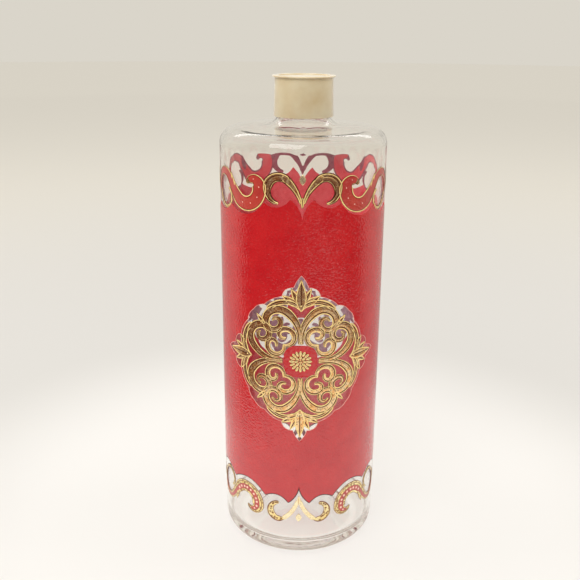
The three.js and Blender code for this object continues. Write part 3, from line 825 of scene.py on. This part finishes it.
def runOutEnds(bm, shape, top):  # draws both ends of the ridge into the wall that carries it
    high = ridgeTop(shape, top) * mm
    for vert in bm.verts:
        radius = hypot(vert.co.x, vert.co.y)
        angle = (radians(shape["start"]) - headingOf(vert.co.xy)) % (2 * pi)
        turnsDown = round((high - vert.co.z) / (thread["pitch"] * mm) - angle / (2 * pi))
        travelled = min(max(angle + 2 * pi * turnsDown, 0), 2 * pi * shape["turns"])
        fromEnd = min(travelled, 2 * pi * shape["turns"] - travelled)
        keep = min(1, fromEnd / radians(thread["runOut"]))
        root = (shape["root"] + shape["sink"] * (1 - keep)) * mm
        newRadius = root + (radius - shape["root"] * mm) * keep
        vert.co.x *= newRadius / radius
        vert.co.y *= newRadius / radius
    bmesh.ops.recalc_face_normals(bm, faces=bm.faces)
    if bm.calc_volume(signed=True) < 0:  # the step above can leave the ridge inside out
        bmesh.ops.reverse_faces(bm, faces=bm.faces)


bottle = dict(
    wall=3, thin=1.5, wallAt=115, heel=8.7, shoulder=8.5, straightTop=225.7, shoulderRise=1.6, floor=7,
    punt=3.5, puntSag=1.2, puntRadius=22, puntRound=20, footInner=31, footRound=2, neck=12.55, neckFoot=0.2,
    bore=9, boreEnd=14, wideBore=10.7, wideBoreTop=11, boreRound=4, neckSweep=8, lip=0.8,
    roundGap=0.3, shoulderGap=0.6, steps=144,
)


def buildBottle():
    top = jar["neckTop"]
    edgeTop = bottle["straightTop"] + bottle["shoulder"]
    root = edgeTop + bottle["shoulderRise"]
    neckFoot = root + bottle["neckFoot"]
    thin = bottle["thin"]  # blown glass thins towards its turns
    inset = thin + bottle["roundGap"]
    corners = [
        (0, bottle["punt"], 0),
        (bottle["puntRadius"], bottle["punt"] - bottle["puntSag"], bottle["puntRound"]),
        (bottle["footInner"], 0, bottle["footRound"]),
        (jar["radius"], 0, bottle["heel"]),
        (jar["radius"], edgeTop, bottle["shoulder"] - bottle["roundGap"]),
        (bottle["neck"], neckFoot, bottle["neckSweep"]),
        (bottle["neck"], top, bottle["lip"]),
        (bottle["bore"], top, bottle["lip"]),
        (bottle["bore"], root + bottle["boreEnd"], bottle["boreRound"]),
        (bottle["wideBore"], root + bottle["wideBoreTop"], bottle["boreRound"]),
        (bottle["wideBore"], neckFoot - inset, bottle["neckSweep"] + inset),
        (jar["radius"] - thin, edgeTop - thin - bottle["shoulderGap"], bottle["shoulder"] - inset),
        (jar["radius"] - bottle["wall"], bottle["wallAt"], 0),
        (jar["radius"] - thin, bottle["floor"], bottle["heel"] - inset),
        (0, bottle["floor"], 0),
    ]
    plain = newObject("plainBottle", meshFrom("plainBottle", spunSolid(corners, bottle["steps"], segments=14)))
    ridge = newObject("neckRidge", meshFrom("neckRidge", threadRidge(neckThread, top)))
    union = plain.modifiers.new("thread", "BOOLEAN")
    union.operation, union.solver, union.object = "UNION", "EXACT", ridge
    joined = bpy.data.meshes.new_from_object(plain.evaluated_get(bpy.context.evaluated_depsgraph_get()))
    bm = bmesh.new()
    bm.from_mesh(joined)
    for item in (plain, ridge):
        bpy.data.objects.remove(item)
    piece = finishPiece("glassBottle", bm, [clearGlass], "glass_bottle", "bottle", sharpAngle=35)
    piece.visible_shadow = False  # light goes through clear glass, and only the print shades the table


cap = dict(
    bore=14.1, skirt=15.5, skirtTop=14.95, flange=16.3, flangeThickness=0.8,
    dish=13.4, dishDepth=0.7, roof=1.5, steps=128,
)


def buildCap():
    low, top = jar["capLow"], jar["capTop"]
    roof = top - cap["dishDepth"] - cap["roof"]
    underFlange = top - cap["flangeThickness"]
    corners = [
        (0, roof, 0),
        (cap["bore"], roof, 0.4),
        (cap["bore"], low, 0.3),
        (cap["skirt"], low, 0.35),
        (cap["skirtTop"], underFlange, 0.3),
        (cap["flange"], underFlange, 0.3),
        (cap["flange"], top, 0.35),
        (cap["dish"], top, 0.3),
        (cap["dish"] - 0.3, top - cap["dishDepth"], 0.3),
        (0, top - cap["dishDepth"], 0),
    ]
    bm = spunSolid(corners, cap["steps"], segments=6)
    ridge = threadRidge(capThread, jar["neckTop"])
    addCopy(bm, ridge, Matrix())
    ridge.free()
    finishPiece("screwCap", bm, [creamPlastic], "screw_cap", "cap", sharpAngle=35)


liner = dict(radius=13.6, thickness=1, gap=0.3, dent=0.12, dentRadii=(8.9, 9.2, 12.3, 12.7), steps=96)


def buildLiner():
    low = jar["neckTop"] + liner["gap"]
    high = low + liner["thickness"]
    dentStart, dentInner, dentOuter, dentEnd = liner["dentRadii"]  # the mark that the neck's rim presses in
    corners = [
        (0, low, 0),
        (dentStart, low, 0.3),
        (dentInner, low + liner["dent"], 0.3),
        (dentOuter, low + liner["dent"], 0.3),
        (dentEnd, low, 0.3),
        (liner["radius"], low, 0.2),
        (liner["radius"], high, 0.2),
        (0, high, 0),
    ]
    bm = spunSolid(corners, liner["steps"], segments=4)
    finishPiece("capLiner", bm, [linerBoard], "cap_liner", "liner", sharpAngle=35)


buildBottle()
buildCap()
buildLiner()
print("bottle, cap and liner made")
buildRedField()
print("red field made")
for sideName, sideTurn in sides.items():
    buildMedallion(sideName, sideTurn)
print("medallions made")
for levelName in ("lower", "upper"):
    borderMotifs = buildBorderMotifs(levelName)
    for sideName, sideTurn in sides.items():
        for handName in ("left", "right"):
            for kindName in ("crescent", "scroll"):
                placeMotif(borderMotifs, kindName, levelName, sideName, sideTurn, handName)
        for kindName in ("spire", "diamond"):
            placeMotif(borderMotifs, kindName, levelName, sideName, sideTurn)
    placeMotif(borderMotifs, "palmette", levelName, "right", pi / 2)
    placeMotif(borderMotifs, "palmette", levelName, "left", -pi / 2)
    for sheet in borderMotifs.values():
        sheet.free()
print("borders made")

# Floor, light and camera

studio = dict(
    size=6, bounces=20, near="#efece8", middle="#dad7d2", far="#e4dfd4",
    nearReach=0.15, middleReach=0.3, farReach=1.2, selfLit=0.6,
    backdrop="#dad5ca", ahead="#6e4434", aheadRight="#d8d2c8", aheadFade=(0.15, -0.15), rightFade=(-0.5, 0.6),
    throughShare=0.35,
)
darkCard = dict(
    colour="#4e2416", lift=2, tableEdge=0.19, fade=0.07, leanAhead=0.415, leanRight=-0.22, backEdge=0.04, behind=0.3,
)


def seenDirectly(tree):  # 1 for what the camera sees straight, in gloss or through glass
    path = addNode(tree, "LightPath").outputs
    gloss = addNode(tree, "Math", [path["Is Glossy Ray"], path["Is Transmission Ray"]], operation="MAXIMUM")
    return addNode(tree, "Math", [path["Is Camera Ray"], gloss], operation="MAXIMUM")


def stagePiece(name, bm, material):
    mesh = meshFrom(name, bm)
    mesh.materials.append(material)
    item = newObject(name, mesh)
    return item


def buildFloor():
    # painted board, near white round the jar and greyer further off; it lights itself in part, so
    # that the jar's shadow on it stays soft
    bm = bmesh.new()
    bmesh.ops.create_circle(bm, cap_ends=True, radius=studio["size"], segments=64)
    material, tree, shader, place = newMaterial("paintedBoard", {"Roughness": 0.6})
    distance = addNode(tree, "VectorMath", [place], operation="LENGTH").outputs["Value"]
    colour = linear(studio["near"])
    for tone, start, end in (("middle", "nearReach", "middleReach"), ("far", "middleReach", "farReach")):
        fade = addNode(tree, "MapRange", [distance, studio[start], studio[end]], interpolation_type="SMOOTHSTEP")
        colour = addNode(tree, "Mix", {0: fade, 6: colour, 7: linear(studio[tone])}, data_type="RGBA")
    setInputs(tree, shader, {"Base Color": colour})
    glow = addNode(tree, "Emission", {"Color": colour, "Strength": 1})
    share = addNode(tree, "Math", [seenDirectly(tree), studio["selfLit"]], operation="MULTIPLY")
    setInputs(tree, tree.nodes["Material Output"], {"Surface": addNode(tree, "MixShader", [share, shader, glow])})
    stagePiece("floor", bm, material)


def buildDarkCard():
    # matt brown card past the table's edge, seen only in the jar's gloss and gold, which it keeps deep:
    # a painted dark reflection, standing for the dim room in front of the jar
    bm = bmesh.new()
    bmesh.ops.create_circle(bm, cap_ends=True, radius=studio["size"] / 2, segments=64)
    bmesh.ops.translate(bm, vec=(0, 0, darkCard["lift"] * mm), verts=bm.verts)
    material, tree, shader, place = newMaterial("darkCard", {
        "Roughness": 0.9,
        "Base Color": linear(darkCard["colour"]),
    })
    axes = addNode(tree, "SeparateXYZ", [place]).outputs
    distance = addNode(tree, "VectorMath", [place], operation="LENGTH").outputs["Value"]
    for axis, lean in (("X", "leanRight"), ("Y", "leanAhead")):  # the table reaches further ahead and to the right
        distance = addNode(tree, "Math", [axes[axis], darkCard[lean], distance], operation="MULTIPLY_ADD")
    edge = addNode(tree, "MapRange", [distance, darkCard["tableEdge"], darkCard["tableEdge"] + darkCard["fade"]],
                   interpolation_type="SMOOTHSTEP")
    side = addNode(tree, "MapRange", [axes["Y"], darkCard["backEdge"], darkCard["backEdge"] - darkCard["fade"],
                                      darkCard["behind"]])
    setInputs(tree, shader, {"Alpha": addNode(tree, "Math", [edge, side], operation="MULTIPLY")})
    card = stagePiece("darkCard", bm, material)
    card.visible_camera = card.visible_diffuse = card.visible_transmission = card.visible_shadow = False


def buildWorld():
    # soft light all round, with the side that the jar faces darker where its gloss mirrors it
    world = bpy.data.worlds.new("studio")
    bpy.context.scene.world = world
    world.use_nodes = True
    tree = world.node_tree
    axes = addNode(tree, "SeparateXYZ", [addNode(tree, "TexCoord").outputs["Generated"]]).outputs
    ahead = addNode(tree, "MapRange", [axes["Y"], *studio["aheadFade"]], interpolation_type="SMOOTHSTEP")
    path = addNode(tree, "LightPath").outputs
    through = addNode(tree, "Math", [path["Is Transmission Ray"], studio["throughShare"] - 1], operation="MULTIPLY")
    mirrored = addNode(tree, "Math", [path["Is Glossy Ray"], through], operation="ADD")
    dimmed = addNode(tree, "Math", [ahead, mirrored], operation="MULTIPLY", use_clamp=True)
    rightwards = addNode(tree, "MapRange", [axes["X"], *studio["rightFade"]], interpolation_type="SMOOTHSTEP")
    front = addNode(tree, "Mix", {0: rightwards, 6: linear(studio["ahead"]), 7: linear(studio["aheadRight"])},
                    data_type="RGBA")
    colour = addNode(tree, "Mix", {0: dimmed, 6: linear(studio["backdrop"]), 7: front}, data_type="RGBA")
    setInputs(tree, tree.nodes["Background"], {"Color": colour})


lamps = dict(
    key=dict(place=(-0.45, -0.9, 1.15), size=(1, 0.7), power=9.4, mirrored=True),
    right=dict(place=(1.1, 0.1, 0.8), size=(0.5, 0.9), power=4, mirrored=False),
    left=dict(place=(-1.1, 0.1, 0.8), size=(0.5, 0.9), power=3.5, mirrored=False),
    strip=dict(place=(0, 1, 1.2), size=(2.4, 0.24), power=5, mirrored=True),
    ceiling=dict(place=(0, 0, 1.3), size=(0.3, 0.3), power=2.5, mirrored=False),
)
lampAim = (0, 0, 0.12)
innerLamps = dict(heights=(0.05, 0.09, 0.13, 0.17), power=0.024, radius=0.015)


def buildLamps():
    for name, lamp in lamps.items():
        data = bpy.data.lights.new(name, "AREA")
        data.shape, data.energy = "RECTANGLE", lamp["power"]
        data.size, data.size_y = lamp["size"]
        item = newObject(name, data)
        item.location = lamp["place"]
        item.rotation_euler = (Vector(lampAim) - item.location).to_track_quat("-Z", "Y").to_euler()
        item.visible_camera = item.visible_transmission = False
        item.visible_glossy = lamp["mirrored"]
    for height in innerLamps["heights"]:  # these stand for the light that the thin enamel lets into the jar
        data = bpy.data.lights.new("insideJar", "POINT")
        data.energy, data.shadow_soft_size = innerLamps["power"], innerLamps["radius"]
        item = newObject("insideJar", data)
        item.location = (0, 0, height)
        item.visible_camera = item.visible_glossy = item.visible_transmission = False


photoCamera = dict(  # fitted to the outlines in the photo: metres, mm of lens, radians
    distance=0.41177, height=0.28491, lens=48.41, sensor=36, near=0.01, pitch=0.32914, yaw=-0.0154, roll=0.0074,
)


def buildCamera():
    pitch, yaw, roll = (photoCamera[key] for key in ("pitch", "yaw", "roll"))
    ahead = Vector((sin(yaw) * cos(pitch), cos(yaw) * cos(pitch), -sin(pitch)))
    level = Vector((cos(yaw), -sin(yaw), 0))
    upright = level.cross(ahead)
    right = level * cos(roll) + upright * sin(roll)
    up = upright * cos(roll) - level * sin(roll)
    data = bpy.data.cameras.new("camera")
    data.lens, data.sensor_width, data.clip_start = (photoCamera[key] for key in ("lens", "sensor", "near"))
    camera = newObject("camera", data)
    turned = Matrix((right, up, -ahead)).transposed().to_4x4()
    camera.matrix_world = Matrix.Translation((0, -photoCamera["distance"], photoCamera["height"])) @ turned
    bpy.context.scene.camera = camera


buildFloor()
buildDarkCard()
buildWorld()
buildLamps()
buildCamera()
bpy.context.scene.view_settings.view_transform = "Standard"
for limit in ("max_bounces", "glossy_bounces", "transmission_bounces"):
    setattr(bpy.context.scene.cycles, limit, studio["bounces"])  # light runs a long way inside thick glass
print("studio made")
